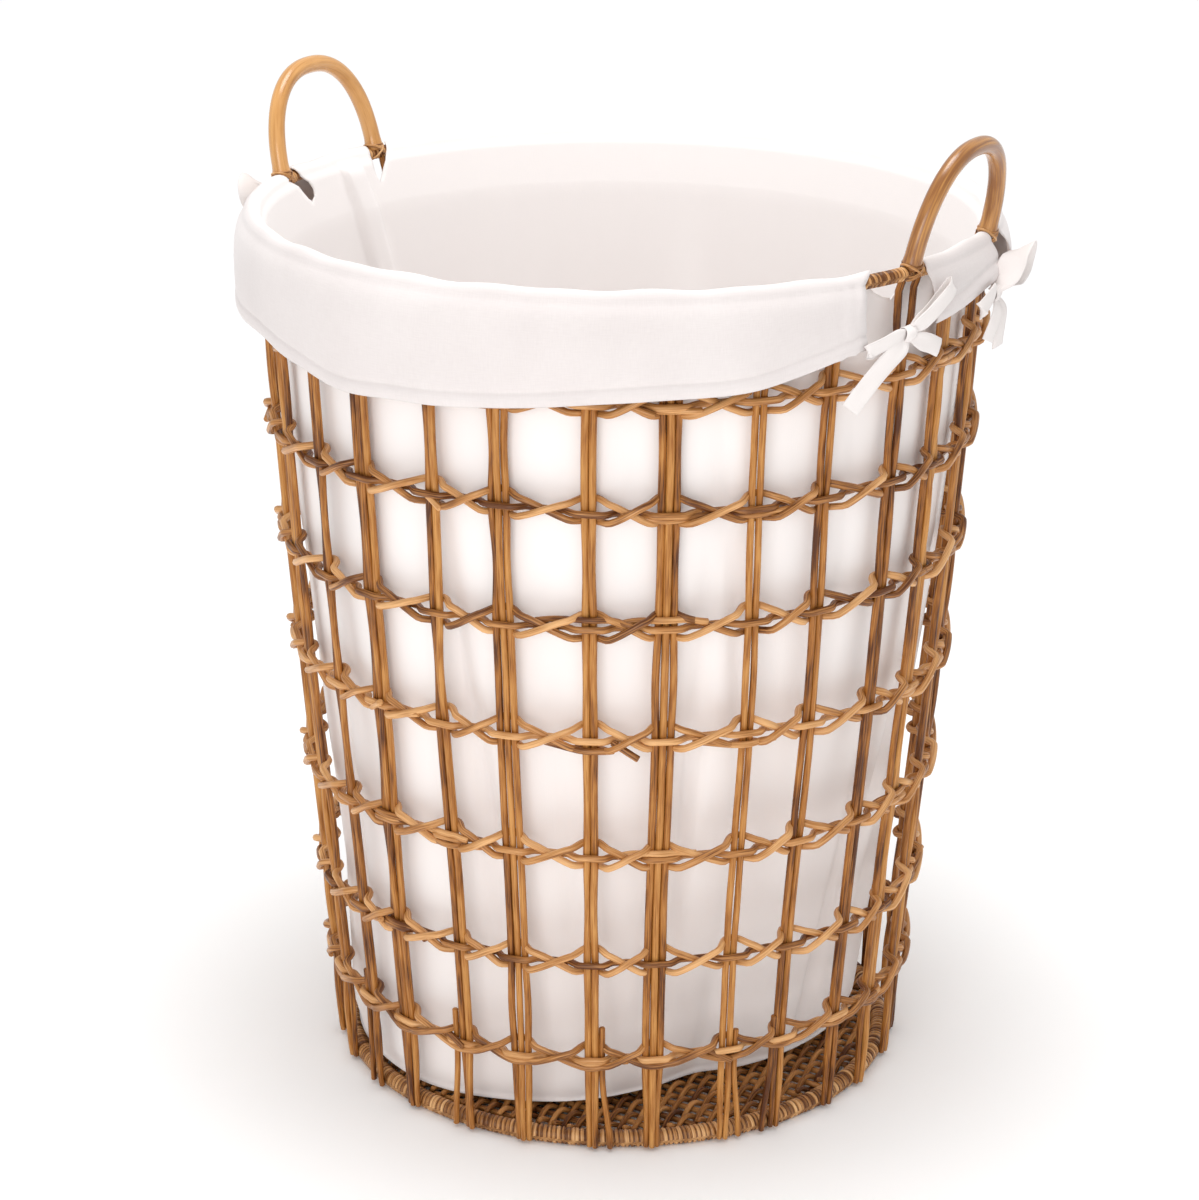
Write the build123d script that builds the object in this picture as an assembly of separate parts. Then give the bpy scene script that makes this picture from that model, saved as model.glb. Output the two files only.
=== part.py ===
"""Woven cane laundry basket with a removable cotton liner.

Millimetres, +Z up. The origin is on the floor, under the middle of the round base.
The two handles stand on the X axis. One STEP file is written for each sub-part.
"""

from build123d import *
from math import cos, radians, sin, sqrt
import os

# ---- driving dimensions -------------------------------------------------------------

# Wall: the line down the middle of a stake, as (radius, height) points.
WALL = [(196.5, 1.0), (197.0, 35.0), (213.0, 220.0), (228.0, 405.0), (239.0, 589.5)]
WALL_BEND = 300.0  # radius that rounds each point of the wall line

STAKE_GROUPS = 28  # upright groups round the basket
STAKE_D = 4.2  # one upright cane
STAKE_GAP = 0.4  # between the canes of a group
CANES_IN_GROUP = (3, 2)  # threes and twos take turns
SLIM_GROUPS = (27,)  # these groups have one cane fewer
PAIR_SHIFT = 0.6  # degrees that neighbouring groups lean towards each other

BAND_LOWEST = 70.5  # height of the lowest band
BAND_BELOW_TOP = 60.0  # from the highest band up to the top of the wall
BAND_STEPS = (72.0, 79.5, 82.0, 79.0, 76.0, 70.5)  # from band to band, in proportion
BAND_CANE_D = 4.0
BAND_HALF = 8.5  # the two rear canes pass this far above and below the front one
WEAVE_GAP = 0.2  # between canes that pass each other

RIM_CORE_D = 7.0
RIM_WRAP_T = 1.0
RIM_OUTSET = 4.5  # the rim hoop's middle stands this far outside the stakes

BASE_CORE_D = 9.0
BASE_WRAP_T = 1.5
BASE_FLAT = 0.8  # depth of the flat worn under the base wrap

FLOOR_WARP_D = 4.0
FLOOR_WARP_PITCH = 18.5
FLOOR_WARP_Z = 4.5
FLOOR_WEFT_D = 4.2
FLOOR_WEFT_PITCH = 4.75

HANDLE_D = 11.5
HANDLE_LEG_STEP = 1.0  # each leg stands this many stake spacings from the X axis
HANDLE_LEG = 17.0  # straight leg below the round arch
HANDLE_LEAN = 12.0  # degrees outwards
LASH_D = 1.8
LASH_TURNS = 3

CLOTH_T = 1.2
CLOTH_GAP = 1.5  # between the liner and the canes beside it
SEAM_GAP = 0.4  # between cloth pieces that a seam joins
LINER_FLOOR_R = 165.0
LINER_HANG = (185.0, 150.0)  # radius and height of the slack wall's bend
LINER_SEAM_BELOW_TOP = 29.5  # where the turned-down top begins, below the top of the wall
CUFF_DEPTH = 70.0  # below the middle of the rim hoop
CUFF_BULGE = 6.5  # the cuff stands this far outside the rim wrap
TAB_HALF_ANGLE = 10.0
SLIT_OUTER_ANGLE = 22.0  # the cuffs end this far from the X axis

BOW_KNOT_D = 10.0
BOW_LOOP = (30.0, 11.0, 4.0)
BOW_TAIL = (42.0, 9.0, 1.5)
BOW_LOOP_RISE = 12.0  # degrees
BOW_TAIL_SPREAD = 28.0  # degrees
BOW_BELOW_RIM = 32.0
BOW_ANGLE = 16.0

# ---- values that follow from them ---------------------------------------------------

STAKE_STEP = 360.0 / STAKE_GROUPS
WALL_TOP_R, WALL_TOP_Z = WALL[-1]
BAND_SPAN = WALL_TOP_Z - BAND_BELOW_TOP - BAND_LOWEST
BAND_HEIGHTS = [
    BAND_LOWEST + BAND_SPAN * sum(BAND_STEPS[:i]) / sum(BAND_STEPS) for i in range(len(BAND_STEPS) + 1)
]
RIM_R = WALL_TOP_R + RIM_OUTSET
RIM_TUBE_R = RIM_CORE_D / 2 + RIM_WRAP_T
RIM_Z = WALL_TOP_Z + RIM_TUBE_R
BASE_TUBE_R = BASE_CORE_D / 2 + BASE_WRAP_T
BASE_R = WALL[0][0] - STAKE_D / 2 - WEAVE_GAP - BASE_TUBE_R
BASE_Z = BASE_TUBE_R - BASE_FLAT
FLOOR_R = BASE_R - BASE_TUBE_R - WEAVE_GAP
FLOOR_WEFT_Z = FLOOR_WARP_Z + (FLOOR_WARP_D + FLOOR_WEFT_D) / 2 + WEAVE_GAP
LINER_Z = FLOOR_WEFT_Z + FLOOR_WEFT_D / 2 + CLOTH_GAP
LINER_SEAM_Z = WALL_TOP_Z - LINER_SEAM_BELOW_TOP
LINER_INSET = STAKE_D / 2 + BAND_CANE_D + 2 * WEAVE_GAP + CLOTH_GAP + CLOTH_T / 2
HANDLE_ANGLE = HANDLE_LEG_STEP * STAKE_STEP
HANDLE_HALF = RIM_R * sin(radians(HANDLE_ANGLE))
CUFF_R = RIM_R + RIM_TUBE_R + CUFF_BULGE


def wall_radius(height):
    """Radius of the stakes' middle line at a height."""
    for (r0, z0), (r1, z1) in zip(WALL, WALL[1:]):
        if height <= z1:
            return r0 + (r1 - r0) * (height - z0) / (z1 - z0)
    return WALL_TOP_R


def ring(radius, height, diameter):
    """A round cane bent into a level ring."""
    return Pos(0, 0, height) * Torus(radius, diameter / 2)


def turned(shape, degrees):
    return Rot(0, 0, degrees) * shape


def save(name, *solids):
    """Write the solids of one sub-part to parts/NAME.step."""
    shape = solids[0] if len(solids) == 1 else Compound(children=list(solids))
    shape.label = name
    export_step(shape, f"parts/{name}.step")


# ---- basketwork ---------------------------------------------------------------------


def stake_cane(offset):
    """One upright cane, in the XZ plane, moved sideways within its group."""
    line = FilletPolyline(*[(r, 0, z) for r, z in WALL], radius=WALL_BEND)
    foot = Plane(origin=line @ 0, z_dir=line % 0)
    return Pos(0, offset, 0) * sweep(foot * Circle(STAKE_D / 2), path=line)


def stake_angle(group):
    return group * STAKE_STEP + (PAIR_SHIFT if group % 2 else -PAIR_SHIFT)


def make_stakes():
    for group in range(STAKE_GROUPS):
        canes = CANES_IN_GROUP[group % 2] - (group + 1 in SLIM_GROUPS)
        pitch = STAKE_D + STAKE_GAP
        offsets = [(i - (canes - 1) / 2) * pitch for i in range(canes)]
        solids = [turned(stake_cane(y), stake_angle(group)) for y in offsets]
        save(f"stake_{group + 1:02d}", *solids)


def make_bands():
    """Each band is a cane in front of the stakes and two behind them."""
    out = (STAKE_D + BAND_CANE_D) / 2 + WEAVE_GAP
    for i, z in enumerate(BAND_HEIGHTS):
        front = ring(wall_radius(z) + out, z, BAND_CANE_D)
        rear = [ring(wall_radius(h) - out, h, BAND_CANE_D) for h in (z - BAND_HALF, z + BAND_HALF)]
        save(f"band_{i + 1}", front, *rear)


def make_rim():
    core = ring(RIM_R, RIM_Z, RIM_CORE_D)
    save("rim_hoop", core)
    save("rim_wrap", ring(RIM_R, RIM_Z, 2 * RIM_TUBE_R) - core)


def make_base():
    """The base hoop lies inside its wrap, which is flat underneath."""
    core = ring(BASE_R, BASE_Z, BASE_CORE_D)
    below = Pos(0, 0, -BASE_FLAT) * Box(3 * BASE_R, 3 * BASE_R, 2 * BASE_FLAT)
    save("base_hoop", core)
    save("base_wrap", ring(BASE_R, BASE_Z, 2 * BASE_TUBE_R) - core - below)


def floor_canes(diameter, pitch, height):
    """Straight canes along X, side by side, that together fill the round floor."""
    count = int(2 * (FLOOR_R - diameter) / pitch) + 1
    canes = []
    for i in range(count):
        y = (i - (count - 1) / 2) * pitch
        reach = sqrt(FLOOR_R**2 - (abs(y) + diameter / 2) ** 2)
        cane = Pos(0, y, height) * Rot(0, 90, 0) * Cylinder(diameter / 2, 2 * reach)
        canes.append(cane)
    return canes


def make_floor():
    save("base_warp", *floor_canes(FLOOR_WARP_D, FLOOR_WARP_PITCH, FLOOR_WARP_Z))
    weft = floor_canes(FLOOR_WEFT_D, FLOOR_WEFT_PITCH, FLOOR_WEFT_Z)
    save("base_weft", *[turned(cane, 90) for cane in weft])


# ---- handles ------------------------------------------------------------------------


def handle_frame():
    """Where a handle stands: Y runs from leg to leg, Z up along the leaning handle."""
    foot_x = RIM_R * cos(radians(HANDLE_ANGLE))
    return Pos(foot_x, 0, RIM_Z) * Rot(0, HANDLE_LEAN, 0)


def handle_arch():
    """A bent cane: straight leg, half circle, straight leg, its feet cut to the rim."""
    legs = Polyline((0, -HANDLE_HALF, 0), (0, -HANDLE_HALF, HANDLE_LEG))
    top = ThreePointArc(
        (0, -HANDLE_HALF, HANDLE_LEG),
        (0, 0, HANDLE_LEG + HANDLE_HALF),
        (0, HANDLE_HALF, HANDLE_LEG),
    )
    down = Line((0, HANDLE_HALF, HANDLE_LEG), (0, HANDLE_HALF, 0))
    line = legs + top + down
    foot = Plane(origin=(0, -HANDLE_HALF, 0), z_dir=(0, 0, 1))
    arch = handle_frame() * sweep(foot * Circle(HANDLE_D / 2), path=line)
    return arch - ring(RIM_R, RIM_Z, 2 * (RIM_TUBE_R + WEAVE_GAP))


def lashing(side):
    """Turns of thin cane round the foot of one leg, just above the rim wrap."""
    foot = RIM_TUBE_R + HANDLE_D / 2 * sin(radians(HANDLE_LEAN)) + WEAVE_GAP + LASH_D / 2
    bound_r = (HANDLE_D + LASH_D) / 2 + WEAVE_GAP
    pitch = LASH_D + WEAVE_GAP
    heights = [foot + i * pitch for i in range(LASH_TURNS)]
    return [handle_frame() * Pos(0, side * HANDLE_HALF, h) * Torus(bound_r, LASH_D / 2) for h in heights]


def make_handles():
    for name, angle in (("right", 0), ("left", 180)):
        save(f"handle_{name}", turned(handle_arch(), angle))
        for end, side in (("front", -1), ("back", 1)):
            side = side if angle == 0 else -side
            save(f"lashing_{name}_{end}", *[turned(t, angle) for t in lashing(side)])


# ---- liner --------------------------------------------------------------------------


def cloth_strip(line, start, end):
    """Cloth of even thickness: a (radius, height) line turned about Z between two angles."""
    profile = Plane.XZ * trace(line, CLOTH_T)
    return turned(revolve(profile, Axis.Z, end - start), start)


def turned_down_line():
    """From the seam inside, up and over the rim hoop, and down outside it."""
    hug = RIM_TUBE_R + WEAVE_GAP + CLOTH_GAP / 2
    seam = (wall_radius(LINER_SEAM_Z) - LINER_INSET, LINER_SEAM_Z + SEAM_GAP)
    beside_stakes = (WALL_TOP_R - STAKE_D / 2 - CLOTH_GAP - CLOTH_T / 2, WALL_TOP_Z)
    inside, outside = (RIM_R - hug, RIM_Z), (RIM_R + hug, RIM_Z)
    over = ThreePointArc(inside, (RIM_R, RIM_Z + hug), outside)
    bulge = (CUFF_R, RIM_Z - CUFF_DEPTH / 3)
    hem = (CUFF_R, RIM_Z - CUFF_DEPTH)
    return Polyline(seam, beside_stakes, inside) + over + Polyline(outside, bulge, hem)


def make_liner():
    bottom = Pos(0, 0, LINER_Z + CLOTH_T / 2) * Cylinder(LINER_FLOOR_R, CLOTH_T)
    foot = (LINER_FLOOR_R, LINER_Z + CLOTH_T + SEAM_GAP)
    top = (wall_radius(LINER_SEAM_Z) - LINER_INSET, LINER_SEAM_Z)
    save("liner_bottom", bottom)
    save("liner_wall", cloth_strip(Polyline(foot, LINER_HANG, top), 0, 360))
    line = turned_down_line()
    for name, middle in (("right", 0), ("left", 180)):
        tab = cloth_strip(line, middle - TAB_HALF_ANGLE, middle + TAB_HALF_ANGLE)
        save(f"tab_{name}", tab)
    for name, middle in (("back", 90), ("front", 270)):
        half = 90 - SLIT_OUTER_ANGLE
        save(f"cuff_{name}", cloth_strip(line, middle - half, middle + half))


def bow():
    """A knot with two loops beside it and two tails hanging, flat to the YZ plane."""
    shape = Sphere(BOW_KNOT_D / 2)
    for side in (-1, 1):
        length, width, thick = BOW_LOOP
        shape += Rot(side * BOW_LOOP_RISE, 0, 0) * Pos(0, side * length / 2, 0) * Box(thick, length, width)
        length, width, thick = BOW_TAIL
        shape += Rot(side * BOW_TAIL_SPREAD, 0, 0) * Pos(0, 0, -length / 2) * Box(thick, width, length)
    return shape


def make_bows():
    """Each pair of ribbons is tied across a slit, outside the cuff."""
    out = CUFF_R + CLOTH_T / 2 + CLOTH_GAP / 3 + BOW_KNOT_D / 2
    placed = Pos(out, 0, RIM_Z - BOW_BELOW_RIM) * bow()
    for name, middle, side in (("right", 0, 1), ("left", 180, -1)):
        save(f"bow_{name}_front", turned(placed, middle - side * BOW_ANGLE))
        save(f"bow_{name}_back", turned(placed, middle + side * BOW_ANGLE))


os.makedirs("parts", exist_ok=True)
make_stakes()
make_bands()
make_rim()
make_base()
make_floor()
make_handles()
make_liner()
make_bows()
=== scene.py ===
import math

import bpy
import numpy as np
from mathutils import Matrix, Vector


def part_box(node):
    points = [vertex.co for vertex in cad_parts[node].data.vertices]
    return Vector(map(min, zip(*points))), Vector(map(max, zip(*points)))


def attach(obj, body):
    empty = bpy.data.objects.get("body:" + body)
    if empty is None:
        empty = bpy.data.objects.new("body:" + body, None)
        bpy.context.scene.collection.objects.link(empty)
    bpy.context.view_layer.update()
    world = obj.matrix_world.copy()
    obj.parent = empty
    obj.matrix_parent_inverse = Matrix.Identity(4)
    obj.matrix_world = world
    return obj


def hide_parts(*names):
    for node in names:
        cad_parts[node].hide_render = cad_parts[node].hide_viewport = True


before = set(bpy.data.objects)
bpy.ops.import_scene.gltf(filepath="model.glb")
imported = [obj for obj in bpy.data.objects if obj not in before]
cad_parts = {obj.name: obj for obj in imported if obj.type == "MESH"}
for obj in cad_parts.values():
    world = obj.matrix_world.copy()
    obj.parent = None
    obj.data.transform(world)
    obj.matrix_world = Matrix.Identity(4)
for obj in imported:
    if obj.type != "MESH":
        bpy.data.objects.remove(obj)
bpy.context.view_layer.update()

# %% [markdown]
# A woven cane laundry basket with a loose cotton liner.
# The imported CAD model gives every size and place. This script puts the real surfaces on it:
# round canes that bend over and under each other, wrapped hoops, polished handles, and a
# cotton bag that is turned down over the rim and tied with ribbons.
# Each step first says what the piece is on the real basket, and then makes it.

MM = 0.001
scene = bpy.context.scene


def node_points(name):
    """All vertices of a CAD node as an array of points."""
    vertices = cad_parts[name].data.vertices
    points = np.zeros(len(vertices) * 3)
    vertices.foreach_get("co", points)
    return points.reshape(-1, 3)


STAKE_RADIUS = 2.1 * MM
BAND_RADIUS = 2.0 * MM
FRONT_OUT = STAKE_RADIUS + BAND_RADIUS + 0.2 * MM

rim_low, rim_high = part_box("rim_wrap")
RIM_TUBE = (rim_high.z - rim_low.z) / 2
RIM_Z = (rim_high.z + rim_low.z) / 2
RIM_R = rim_high.x - RIM_TUBE
base_low, base_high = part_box("base_wrap")
hoop_low, hoop_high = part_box("base_hoop")
BASE_TUBE = (hoop_high.z - hoop_low.z) / 2 + 1.5 * MM
BASE_Z = base_high.z - BASE_TUBE
BASE_R = base_high.x - BASE_TUBE

band_boxes = [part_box(f"band_{i}") for i in range(1, 8)]
BAND_Z = np.array([(low.z + high.z) / 2 for low, high in band_boxes])
BAND_R = np.array([high.x for low, high in band_boxes]) - FRONT_OUT - BAND_RADIUS
stake_low, stake_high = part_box("stake_01")
WALL_Z = np.concatenate([[stake_low.z], BAND_Z, [stake_high.z]])
WALL_R = np.concatenate([[stake_low.x + STAKE_RADIUS], BAND_R, [stake_high.x - STAKE_RADIUS]])
GROUPS = sum(name.startswith("stake_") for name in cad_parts)
LINER_FLOOR_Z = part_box("liner_bottom")[0].z + 0.6 * MM
print(f"rim R {RIM_R:.4f} z {RIM_Z:.4f}, base R {BASE_R:.4f} z {BASE_Z:.4f}, {GROUPS} stake groups")


def wall_radius(z):
    """Radius of the uprights' middle line at a height, by straight steps between the bands."""
    return np.interp(z, WALL_Z, WALL_R)


# %% [markdown]
# ## Camera, lights and floor
# The camera stands a little above the basket's rim and looks down on it through a long lens,
# so that the round top shows as a narrow oval. It comes first, because the rest is judged
# through it. The basket stands in a white room on white card. White cloth only keeps its
# folds when the light has a direction, so a low window stands near the camera for the wall,
# a panel hangs over the open top for the inside, and a broad overhead glow lights the card.

# %% Camera
CAMERA_AZIMUTH = -59.2
CAMERA_DISTANCE = 2.1029
CAMERA_HEIGHT = 1.0780
CAMERA_TURN = -0.38
CAMERA_DOWN = 19.851
CAMERA_ROLL = 0.308


def around(azimuth, radius=1.0, z=0.0):
    """Point at an azimuth in degrees: radius times (cos, sin), and a height."""
    a = np.radians(azimuth)
    a, radius, z = np.broadcast_arrays(a, radius, z)
    return np.stack([radius * np.cos(a), radius * np.sin(a), z], -1)


def make_camera():
    """Aim a long lens: turned from the basket's middle, tipped down, then rolled."""
    data = bpy.data.cameras.new("camera")
    data.lens, data.sensor_width = 97.37, 36.0
    data.clip_start, data.clip_end = 0.05, 50.0
    camera = bpy.data.objects.new("camera", data)
    scene.collection.objects.link(camera)
    heading = math.radians(CAMERA_AZIMUTH + 180 - CAMERA_TURN)
    down, roll = math.radians(CAMERA_DOWN), math.radians(CAMERA_ROLL)
    ahead = np.array([math.cos(heading) * math.cos(down), math.sin(heading) * math.cos(down), -math.sin(down)])
    right = np.array([math.sin(heading), -math.cos(heading), 0.0])
    up = np.cross(right, ahead)
    rolled_right = math.cos(roll) * right + math.sin(roll) * up
    rolled_up = -math.sin(roll) * right + math.cos(roll) * up
    matrix = np.eye(4)
    matrix[:3, 0], matrix[:3, 1], matrix[:3, 2] = rolled_right, rolled_up, -ahead
    matrix[:3, 3] = around(CAMERA_AZIMUTH, CAMERA_DISTANCE, CAMERA_HEIGHT)
    camera.matrix_world = Matrix(matrix.tolist())
    return camera


scene.camera = make_camera()
print("camera at", [round(v, 3) for v in scene.camera.location])

# %% Colour and node helpers


def hex_colour(text):
    """An sRGB hex colour as linear RGBA: below 0.04045 divided by 12.92, above it a 2.4 power curve."""
    c = np.array([int(text[i : i + 2], 16) for i in (0, 2, 4)]) / 255
    linear = np.where(c <= 0.04045, c / 12.92, ((c + 0.055) / 1.055) ** 2.4)
    return (*linear.tolist(), 1.0)


def add(tree, kind, inputs=None, **settings):
    """Add one node. An input is a number, a colour, or another node's output."""
    made = tree.nodes.new("ShaderNode" + kind)
    for name, value in settings.items():
        setattr(made, name, value)
    for name, value in (inputs or {}).items():
        if isinstance(value, bpy.types.NodeSocket):
            tree.links.new(value, made.inputs[name])
        else:
            made.inputs[name].default_value = value
    return made


def new_material(name):
    """A material with an empty node tree, its shader and its output."""
    material = bpy.data.materials.new(name)
    material.use_nodes = True
    material.node_tree.nodes.clear()
    shader = add(material.node_tree, "BsdfPrincipled")
    output = add(material.node_tree, "OutputMaterial")
    material.node_tree.links.new(shader.outputs[0], output.inputs["Surface"])
    return material, material.node_tree, shader


# %% Studio
def make_light(name, kind, place, target, strength, **settings):
    """A soft light at a point, turned to face a target."""
    data = bpy.data.lights.new(name, kind)
    data.energy = strength
    for key, value in settings.items():
        setattr(data, key, value)
    light = bpy.data.objects.new(name, data)
    scene.collection.objects.link(light)
    light.location = Vector(place)
    light.rotation_euler = (Vector(place) - Vector(target)).to_track_quat("Z", "Y").to_euler()


def make_studio():
    """White room and floor. One panel hangs over the open basket, and one window stands at
    the camera's left. A wide overhead glow keeps the far floor white."""
    world = bpy.data.worlds.new("white_room")
    world.use_nodes = True
    world.node_tree.nodes["Background"].inputs["Color"].default_value = hex_colour("ffffff")
    world.node_tree.nodes["Background"].inputs["Strength"].default_value = 0.69
    scene.world = world
    toward, left = around(CAMERA_AZIMUTH), around(CAMERA_AZIMUTH - 90)
    window = 1.9 * toward + 0.4 * left + np.array([0.0, 0.0, 0.75])
    make_light("overhead_glow", "SUN", (0, 0, 4), (0, 0, 0), 1.05, angle=math.radians(36))
    make_light("top_panel", "AREA", (0, 0, 1.7), (0, 0, 0), 5.2, size=0.6)
    make_light("window", "AREA", tuple(window), (0, 0, 0.1), 9.6, size=0.9)
    data = bpy.data.meshes.new("studio_floor")
    half = 9.0
    data.from_pydata([(-half, -half, 0), (half, -half, 0), (half, half, 0), (-half, half, 0)], [], [(0, 1, 2, 3)])
    floor = bpy.data.objects.new("studio_floor", data)
    scene.collection.objects.link(floor)
    material, tree, shader = new_material("white_card")
    shader.inputs["Base Color"].default_value = hex_colour("fefefe")
    shader.inputs["Roughness"].default_value = 0.9
    shader.inputs["Specular IOR Level"].default_value = 0.1
    data.materials.append(material)


make_studio()
scene.view_settings.view_transform = "Standard"
print("studio ready")

# %% [markdown]
# ## Cane
# Everything woven is willow or rattan core: a round rod, steamed and bent, stained honey
# brown and thinly lacquered. One skin function makes all of them. A rod is a circle carried
# along a line, and the circle's frame is held by the direction that faces out of the basket,
# so the rod doesn't twist. Each point also keeps where it lies along and across the rod, so
# that the grain runs with the rod wherever it bends.

# %% Cane skin


def unit(v):
    """Vectors scaled to length one."""
    return v / np.maximum(np.linalg.norm(v, axis=-1, keepdims=True), 1e-12)


def smooth_step(x):
    """0 below 0, 1 above 1, and x*x*(3-2x) between."""
    x = np.clip(x, 0, 1)
    return x * x * (3 - 2 * x)


def line_frame(path, outward, closed=False):
    """Tangent, outward normal and side of a line: side = tangent x normal."""
    if closed:
        tangent = unit(np.roll(path, -1, 0) - np.roll(path, 1, 0))
    else:
        tangent = unit(np.gradient(path, axis=0))
    normal = unit(outward - (outward * tangent).sum(-1, keepdims=True) * tangent)
    return tangent, normal, np.cross(tangent, normal)


def cane_skin(path, radius, outward, rng, sides=8, closed=False, flat=1.0):
    """Ring k of the skin is path[k] + radius[k] (cos a * normal * flat + sin a * side).

    An open cane gets a slightly rounded, closed cut at each end."""
    radius = np.broadcast_to(np.asarray(radius, float), len(path)).copy()
    outward = np.broadcast_to(outward, path.shape)
    if not closed:
        tangent = unit(np.gradient(path, axis=0))
        first, last = path[:1] - tangent[:1] * radius[0] * 0.2, path[-1:] + tangent[-1:] * radius[-1] * 0.2
        path = np.vstack([first, path, last])
        radius = np.concatenate([[radius[0] * 0.8], radius, [radius[-1] * 0.8]])
        outward = np.vstack([outward[:1], outward, outward[-1:]])
    tangent, normal, side = line_frame(path, outward, closed)
    a = np.arange(sides) * 2 * np.pi / sides
    across = np.stack([flat * np.cos(a), np.sin(a)], -1)
    ring = across[None, :, 0, None] * normal[:, None] + across[None, :, 1, None] * side[:, None]
    points = path[:, None] + radius[:, None, None] * ring
    along = np.concatenate([[0], np.cumsum(np.linalg.norm(np.diff(path, axis=0), axis=1))])
    grain = np.empty(points.shape)
    grain[..., 0] = along[:, None]
    grain[..., 1:] = radius[:, None, None] * across
    grain += rng.uniform(0, 5, 3)
    n = len(path)
    i, j = np.meshgrid(np.arange(n if closed else n - 1), np.arange(sides), indexing="ij")
    k, m = (i + 1) % n, (j + 1) % sides
    faces = np.stack([i * sides + j, i * sides + m, k * sides + m, k * sides + j], -1).reshape(-1, 4)
    tone = np.full(n * sides, rng.uniform(0, 1))
    points, grain = points.reshape(-1, 3), grain.reshape(-1, 3)
    caps = []
    if not closed:
        j = np.arange(sides)
        start, end = len(points), len(points) + 1
        points = np.vstack([points, path[:1], path[-1:]])
        grain = np.vstack([grain, grain[:1], grain[-1:]])
        tone = np.concatenate([tone, tone[:2]])
        last = (n - 1) * sides
        caps = [np.stack([np.full(sides, start), (j + 1) % sides, j], -1)]
        caps += [np.stack([np.full(sides, end), last + j, last + (j + 1) % sides], -1)]
    return {"points": points, "faces": [faces, *caps], "grain": grain, "tone": tone}


def put_together(parts):
    """Several skins as one: their points in a row, their faces renumbered."""
    starts = np.cumsum([0] + [len(p["points"]) for p in parts])
    joined = {key: np.concatenate([p[key] for p in parts]) for key in parts[0] if key != "faces"}
    joined["faces"] = [f + s for p, s in zip(parts, starts) for f in p["faces"]]
    return joined


def new_piece(name, skin, material, body, replaces=()):
    """Make the mesh object of a skin, with its attributes and material, put it under its body, and hide the CAD
    parts that it replaces.
    """
    data = bpy.data.meshes.new(name)
    faces = [face for block in skin["faces"] for face in block.tolist()]
    data.from_pydata(skin["points"].tolist(), [], faces)
    data.polygons.foreach_set("use_smooth", np.ones(len(data.polygons), bool))
    if "grain" in skin:
        grain = data.attributes.new("grain", "FLOAT_VECTOR", "POINT")
        grain.data.foreach_set("vector", skin["grain"].astype(np.float32).ravel())
    if "tone" in skin:
        tone = data.attributes.new("tone", "FLOAT", "POINT")
        tone.data.foreach_set("value", skin["tone"].astype(np.float32))
    if "corner_uv" in skin:
        data.uv_layers.new(name="cloth")
        data.uv_layers["cloth"].data.foreach_set("uv", skin["corner_uv"].astype(np.float32).ravel())
    data.materials.append(material)
    made = bpy.data.objects.new(name, data)
    scene.collection.objects.link(made)
    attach(made, body)
    if replaces:
        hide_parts(*replaces)
    return made


# %% Cane finish


def cane_finish(name, dark, middle, light, coat, roughness, streak_mm=0.8, depth_mm=0.12):
    """Stained, lacquered cane. Fibres run along the rod: a noise whose long axis is the rod's.

    Streaks are about streak_mm wide and 30 times as long, and each rod has its own tone."""
    material, tree, shader = new_material(name)
    grain = add(tree, "Attribute", attribute_name="grain").outputs["Vector"]
    tone = add(tree, "Attribute", attribute_name="tone").outputs["Fac"]
    scale = 1 / (streak_mm * MM)
    stretched = add(tree, "Mapping", {"Vector": grain, "Scale": (scale / 30, scale, scale)}).outputs[0]
    streaks = add(tree, "TexNoise", {"Vector": stretched, "Scale": 1.0, "Detail": 3.0, "Roughness": 0.6}).outputs[0]
    patches_at = add(tree, "Mapping", {"Vector": grain, "Scale": (28.0, 120.0, 120.0)}).outputs[0]
    patches = add(tree, "TexNoise", {"Vector": patches_at, "Scale": 1.0, "Detail": 2.0}).outputs[0]
    shade = add(tree, "Math", {0: streaks, 1: 0.55}, operation="MULTIPLY").outputs[0]
    shade = add(tree, "Math", {0: patches, 1: 0.45, 2: shade}, operation="MULTIPLY_ADD").outputs[0]
    spread = add(tree, "MapRange", {"Value": tone, "To Min": -0.10, "To Max": 0.10}, clamp=False).outputs[0]
    shade = add(tree, "Math", {0: shade, 1: spread}, operation="ADD").outputs[0]
    ramp = add(tree, "ValToRGB", {"Fac": shade})
    ramp.color_ramp.elements[0].position, ramp.color_ramp.elements[0].color = 0.36, hex_colour(dark)
    ramp.color_ramp.elements[1].position, ramp.color_ramp.elements[1].color = 0.66, hex_colour(light)
    centre = ramp.color_ramp.elements.new(0.50)
    centre.color = hex_colour(middle)
    tree.links.new(ramp.outputs[0], shader.inputs["Base Color"])
    bump = add(tree, "Bump", {"Height": streaks, "Strength": 0.6, "Distance": depth_mm * MM})
    tree.links.new(bump.outputs[0], shader.inputs["Normal"])
    rough = add(tree, "MapRange", {"Value": streaks, "To Min": roughness + 0.08, "To Max": roughness - 0.08})
    tree.links.new(rough.outputs[0], shader.inputs["Roughness"])
    shader.inputs["Specular IOR Level"].default_value = 0.3
    shader.inputs["Coat Weight"].default_value = coat
    shader.inputs["Coat Roughness"].default_value = 0.22
    return material


UPRIGHT = cane_finish("stained_willow_upright", "52290a", "a5682a", "cb914e", 0.12, 0.46)
WOVEN = cane_finish("stained_willow_woven", "5f320e", "b67c43", "e3af76", 0.15, 0.42)
print("cane finishes", UPRIGHT.name, WOVEN.name)

# %% [markdown]
# ## Uprights
# The wall's ribs are bundles of two or three rods, side by side. They are pushed down beside
# the base hoop, where they crowd together and are cut off, and their tops are bound into the
# rim. Between two woven bands a bundle often narrows, because a hand-woven rod is never
# straight, and then one rod rides over its neighbour. The line of each rod is the wall's
# profile with a sideways place of its own; how wide the bundle is changes with height.

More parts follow.
